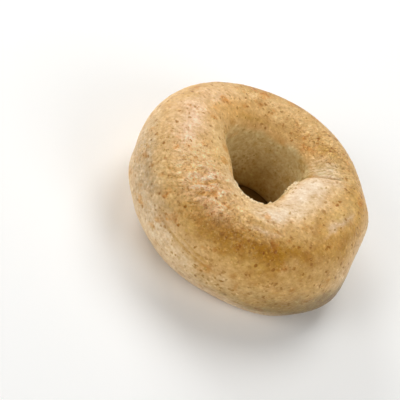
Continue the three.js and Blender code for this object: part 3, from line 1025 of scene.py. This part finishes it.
def scatterPlaces(count, density, seed):
    # random places on the skin, as thick as density asks for each area: point, normal, colour
    random = np.random.default_rng(seed)
    right, up = np.roll(skinPoints, -1, 0), np.roll(skinPoints, -1, 1)
    area = np.linalg.norm(np.cross(right - skinPoints, up - skinPoints), axis=-1)
    heaped = np.cumsum((area * density).ravel())
    cell = np.searchsorted(heaped / heaped[-1], random.random(count))
    share = random.random((2, count, 1))

    def between(grid):
        # the grid's four corners of the place's cell, blended by its two shares
        ways = ((0, 0), (1, 0), (0, 1), (1, 1))
        corners = [np.roll(grid, (-a, -b), (0, 1)).reshape(-1, grid.shape[2])[cell] for a, b in ways]
        low = corners[0] * (1 - share[0]) + corners[1] * share[0]
        high = corners[2] * (1 - share[0]) + corners[3] * share[0]
        return low * (1 - share[1]) + high * share[1]

    normals = between(skinNormals)
    normals = normals / np.linalg.norm(normals, axis=-1, keepdims=True)
    return between(skinPoints), normals, between(skinColour)


# What all the scattered bits share
bitShape = {
    "ringShare": 0.7,             # how far out the raised ring stands, of the rim
    "ringLevel": 0.34,            # how high, of the bit's thickness
    "ringUneven": (0.7, 1.0),
    "flatFrom": 0.8,              # how far up a normal points where the skin is nearly flat
    "tonePowers": (0.8, 1.2, 2.0, 0.0),   # red, green, blue, alpha: the darker ones are also redder
    "mottleSize": 0.5 * mm, "mottleAmount": 0.25, "specular": 0.15,
}


def bitFaces(count, sides):
    # triangles of all the bits: two to each side between rim and ring, one up to the top point and
    # one down to the bottom point
    k = np.arange(sides)
    after = (k + 1) % sides
    top, bottom = 2 * sides, 2 * sides + 1
    triangles = np.concatenate([
        np.stack([k, after, sides + after], 1), np.stack([k, sides + after, sides + k], 1),
        np.stack([sides + k, sides + after, 0 * k + top], 1), np.stack([after, k, 0 * k + bottom], 1)])
    return (np.arange(count)[:, None, None] * (2 * sides + 2) + triangles).reshape(-1, 3)


def bitColours(look, colours, evenTone):
    # the skin's colour mixed with the bits' own, of the flank or of the crown, times each bit's tone
    tone = (1 + look["toneSpread"] * evenTone) ** np.array(bitShape["tonePowers"])
    high = np.clip(skinLook["highGain"] * colours[:, 3:], 0, 1)
    own = np.array([*look["lowColour"], 1]) * (1 - high) + np.array([*look["colour"], 1]) * high
    colours = colours * (1 - look["ownShare"]) + own * look["ownShare"]
    return np.clip(colours * tone, 0, 1)


def bitsMaterial(name, roughness):
    # the bits' own colours, finely mottled
    material = bpy.data.materials.new(name)
    material.use_nodes = True
    tree = material.node_tree
    shader = tree.nodes["Principled BSDF"]
    here = tree.nodes.new("ShaderNodeTexCoord").outputs["Object"]
    fine = place(material, "mottle", {
        "Color": attributeNode(material, "dough").outputs["Color"], "Vector": here,
        "Size": bitShape["mottleSize"], "Amount": bitShape["mottleAmount"]})
    tree.links.new(fine.outputs["Color"], shader.inputs["Base Color"])
    shader.inputs["Roughness"].default_value = roughness
    shader.inputs["Specular IOR Level"].default_value = bitShape["specular"]
    return material


def scatterBits(name, look, density):
    # closed lens-shaped bits lying on the skin: an uneven rim, a raised ring inside it,
    # a top and a bottom point. Each is turned at random and sunk by a share of its thickness
    random = np.random.default_rng(look["seed"])
    count, sides = look["count"], look["sides"]
    points, normals, colours = scatterPlaces(count, density, look["seed"] + 1)
    length = look["length"] * np.exp(look["spread"] * random.standard_normal(count))
    width = length * random.uniform(*look["slimness"], count)
    thick = length * random.uniform(*look["thickness"], count)
    spin = random.uniform(0, 2 * np.pi, count)
    # two directions along the skin, the first of them level unless the skin is nearly flat
    flatHere = np.abs(normals[:, 2:]) >= bitShape["flatFrom"]
    level = np.cross(normals, np.where(flatHere, [[1.0, 0, 0]], [[0.0, 0, 1]]))
    level /= np.linalg.norm(level, axis=-1, keepdims=True)
    side = np.cross(normals, level)
    ahead = level * np.cos(spin)[:, None] + side * np.sin(spin)[:, None]
    aside = np.cross(normals, ahead)

    corner = np.arange(sides) * 2 * np.pi / sides
    uneven = 1 + look["uneven"] * random.uniform(-1, 1, (count, sides))
    rimX, rimY = np.cos(corner) * uneven, np.sin(corner) * uneven
    tops = random.uniform(*bitShape["ringUneven"], (count, sides))
    flat = np.zeros((count, 1))
    x = np.concatenate([rimX, bitShape["ringShare"] * rimX, flat, flat], axis=1) * length[:, None] / 2
    y = np.concatenate([rimY, bitShape["ringShare"] * rimY, flat, flat], axis=1) * width[:, None] / 2
    z = np.concatenate([0 * rimX, bitShape["ringLevel"] * tops, flat + 0.5, flat - 0.5], axis=1)
    z = (z - look["sunk"]) * thick[:, None]
    bits = points[:, None] + x[..., None] * ahead[:, None]
    bits = bits + y[..., None] * aside[:, None]
    bits = bits + z[..., None] * normals[:, None]

    colours = bitColours(look, colours, random.uniform(-1, 1, (count, 1)))
    colours = np.repeat(colours, 2 * sides + 2, axis=0)
    piece = meshOf(name, bits.reshape(-1, 3), bitFaces(count, sides), colours, look["smooth"])
    piece.data.materials.append(bitsMaterial(name + "Skin", look["roughness"]))
    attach(piece, "root")


branFlakes = {
    "seed": 101, "count": 560, "sides": 7, "length": 1.08 * mm, "spread": 0.22,
    "slimness": (0.45, 0.85), "thickness": (0.12, 0.2), "uneven": 0.25, "sunk": 0.15,
    "ownShare": 0.6, "colour": (0.58, 0.30, 0.05), "lowColour": (0.50, 0.32, 0.08),
    "toneSpread": 0.25, "roughness": 0.5, "smooth": False,
    "evenShare": 0.5,   # how thick they lie where the crust isn't grainy
}

granules = {
    "seed": 202, "count": 1600, "sides": 8, "length": 0.8 * mm, "spread": 0.25,
    "slimness": (0.6, 1.0), "thickness": (0.3, 0.5), "uneven": 0.15, "sunk": 0.22,
    "ownShare": 0.25, "colour": (0.95, 0.62, 0.26), "lowColour": (0.88, 0.62, 0.28),
    "toneSpread": 0.12, "roughness": 0.55, "smooth": True,
    "evenShare": 0.12,
}

rimCrumbs = {
    "seed": 303, "count": 150, "sides": 7, "length": 1.45 * mm, "spread": 0.25,
    "slimness": (0.6, 1.0), "thickness": (0.75, 1.1), "uneven": 0.3, "sunk": 0.0,
    "ownShare": 0.6, "colour": (1.0, 0.84, 0.56), "lowColour": (1.0, 0.84, 0.56),
    "toneSpread": 0.1, "roughness": 0.5, "smooth": False,
    "spots": [(1, -86, 147, 13, 5), (0.8, -18, 166, 8, 4)],
}

bitsSpan = (-70, 40, 215, 40)   # the turns that bran and granules lie on: fade in, fade out

onTop = window(turn, *bitsSpan)
branDensity = onTop * (branFlakes["evenShare"] + grainy) * fleckMask(angle, turn)
scatterBits("branFlakes", branFlakes, branDensity)
scatterBits("granules", granules, onTop * (granules["evenShare"] + grainy))
scatterBits("rimCrumbs", rimCrumbs, spotsSum(angle, turn, rimCrumbs["spots"]))
print("scattered bits done")


# The floor, the world, the camera and the lights. A glow or a shade has its fade beside it: the
# distances from the middle where it starts and ends
stage = {
    "floorSize": 30.0,
    "floorColour": (0.94, 0.94, 0.93, 1),
    "floorRoughness": 0.9, "floorSpecular": 0.1,
    "nearGlow": 0.14, "nearGlowFade": (35 * mm, 90 * mm),
    "farGlow": 0.55, "farGlowFade": (0.3, 1.6),
    # a painted shadow darkens the floor under the bagel, seen only through the hole
    "shadeColour": (0.30, 0.19, 0.08, 1), "shadeFade": (22 * mm, 45 * mm),   # only seen through the hole
    "worldColour": (1.0, 1.0, 0.99, 1),
    "horizonStrength": 0.8,
    "overheadStrength": 0.0,
    "overheadHeight": 0.35,   # how far up the world has darkened, the sine of its elevation
}

camera = {
    "elevation": 47,      # over the plane the bagel lies in
    "roll": 30,           # its axis leans to the right by this much
    "distance": 540 * mm,
    "level": 21 * mm,     # the point looked at, on the ring's own axis
    "pixelsPerMetre": 2282.06,
    "right": 48.69,       # where that point stands in the picture, in pixels from its middle
    "up": 5.82,
    "pictureWidth": 400,
    "sensor": 36,
    "nearest": 0.01, "farthest": 100,
}

# name, direction to it as (right, up, towards the camera) of the picture, distance, size, power,
# colour
lights = [
    ("topLight", (0.48, 0.83, 0.29), 0.9, 0.5, 3.3, (1.0, 0.99, 0.97)),
    ("leftLight", (-0.52, 0.26, 0.81), 0.9, 0.5, 2.5, (1.0, 1.0, 1.0)),
    ("rightLight", (0.72, -0.2, 0.66), 0.9, 0.5, 2.3, (1.0, 1.0, 1.0)),
    ("farLight", (-0.2, 0.95, -0.1), 0.9, 0.5, 4.1, (1.0, 1.0, 1.0)),
]


def cameraAxes():
    # right, up and backwards of a camera at an elevation over +Z, rolled about its own axis
    e, r = radians(camera["elevation"]), radians(camera["roll"])
    level = Vector((1, 0, 0))
    over = Vector((0, sin(e), cos(e)))
    back = Vector((0, -cos(e), sin(e)))
    return cos(r) * level + sin(r) * over, cos(r) * over - sin(r) * level, back


def addCamera():
    # stands back from the ring and looks a little beside it
    right, up, back = cameraAxes()
    middle = Vector((ringShift.x, ringShift.y, camera["level"]))
    place = middle + camera["distance"] * back
    aim = middle - (camera["right"] * right + camera["up"] * up) / camera["pixelsPerMetre"]
    away = (place - aim).normalized()
    side = up.cross(away).normalized()
    turned = Matrix((side, away.cross(side), away)).transposed().to_4x4()
    data = bpy.data.cameras.new("camera")
    data.sensor_width = camera["sensor"]
    focal = camera["pixelsPerMetre"] * camera["distance"]
    data.lens = focal / camera["pictureWidth"] * camera["sensor"]
    data.clip_start = camera["nearest"]
    data.clip_end = camera["farthest"]
    made = bpy.data.objects.new("camera", data)
    made.matrix_world = Matrix.Translation(place) @ turned
    bpy.context.scene.collection.objects.link(made)
    bpy.context.scene.camera = made


def addLights():
    # round lamps, each facing the middle of the floor
    right, up, back = cameraAxes()
    for name, (toRight, toUp, toCamera), distance, size, power, colour in lights:
        towards = (toRight * right + toUp * up + toCamera * back).normalized()
        data = bpy.data.lights.new(name, "AREA")
        data.shape = "DISK"
        data.size = size
        data.energy = power
        data.color = colour
        made = bpy.data.objects.new(name, data)
        made.location = towards * distance
        made.rotation_mode = "QUATERNION"
        made.rotation_quaternion = towards.to_track_quat("Z", "Y")
        bpy.context.scene.collection.objects.link(made)


def fromMiddleNode(material, near, far, low, high):
    # low within near of the middle of the floor, high beyond far, smooth between
    nodes, links = material.node_tree.nodes, material.node_tree.links
    length = nodes.new("ShaderNodeVectorMath")
    length.operation = "LENGTH"
    fade = nodes.new("ShaderNodeMapRange")
    fade.interpolation_type = "SMOOTHSTEP"
    for label, value in (("From Min", near), ("From Max", far), ("To Min", low), ("To Max", high)):
        fade.inputs[label].default_value = value
    links.new(nodes.new("ShaderNodeTexCoord").outputs["Object"], length.inputs[0])
    links.new(length.outputs["Value"], fade.inputs["Value"])
    return fade.outputs["Result"]


def addFloor():
    # a pale floor that glows a little outside the bagel's own shade, and more far away, with a painted
    # shadow under the bagel
    half = stage["floorSize"] / 2
    mesh = bpy.data.meshes.new("floor")
    corners = [(-half, -half, 0), (half, -half, 0), (half, half, 0), (-half, half, 0)]
    mesh.from_pydata(corners, [], [(0, 1, 2, 3)])
    material = bpy.data.materials.new("floorPaint")
    material.use_nodes = True
    tree = material.node_tree
    shader = tree.nodes["Principled BSDF"]
    shader.inputs["Roughness"].default_value = stage["floorRoughness"]
    shader.inputs["Specular IOR Level"].default_value = stage["floorSpecular"]
    shader.inputs["Emission Color"].default_value = stage["floorColour"]
    near = fromMiddleNode(material, *stage["nearGlowFade"], 0.0, stage["nearGlow"])
    far = fromMiddleNode(material, *stage["farGlowFade"], 0.0, stage["farGlow"])
    tree.links.new(mathNode(tree, "ADD", near, far), shader.inputs["Emission Strength"])
    lit = fromMiddleNode(material, *stage["shadeFade"], 0.0, 1.0)
    shade = tree.nodes.new("ShaderNodeRGB")
    shade.outputs["Color"].default_value = stage["shadeColour"]
    colour = mixed(material, lit, shade.outputs["Color"], stage["floorColour"][:3])
    tree.links.new(colour, shader.inputs["Base Color"])
    mesh.materials.append(material)
    floor = bpy.data.objects.new("floor", mesh)
    bpy.context.scene.collection.objects.link(floor)


def addWorld():
    # a room that is palest at the horizon and darkens upwards
    world = bpy.data.worlds.new("paleRoom")
    world.use_nodes = True
    nodes, links = world.node_tree.nodes, world.node_tree.links
    background = nodes["Background"]
    background.inputs["Color"].default_value = stage["worldColour"]
    direction = nodes.new("ShaderNodeTexCoord")
    parts = nodes.new("ShaderNodeSeparateXYZ")
    fade = nodes.new("ShaderNodeMapRange")
    fade.interpolation_type = "SMOOTHSTEP"
    fade.inputs["From Max"].default_value = stage["overheadHeight"]
    fade.inputs["To Min"].default_value = stage["horizonStrength"]
    fade.inputs["To Max"].default_value = stage["overheadStrength"]
    links.new(direction.outputs["Generated"], parts.inputs["Vector"])
    links.new(parts.outputs["Z"], fade.inputs["Value"])
    links.new(fade.outputs["Result"], background.inputs["Strength"])
    bpy.context.scene.world = world
    bpy.context.scene.view_settings.view_transform = "Standard"


addCamera()
addLights()
addFloor()
addWorld()
print("stage done")
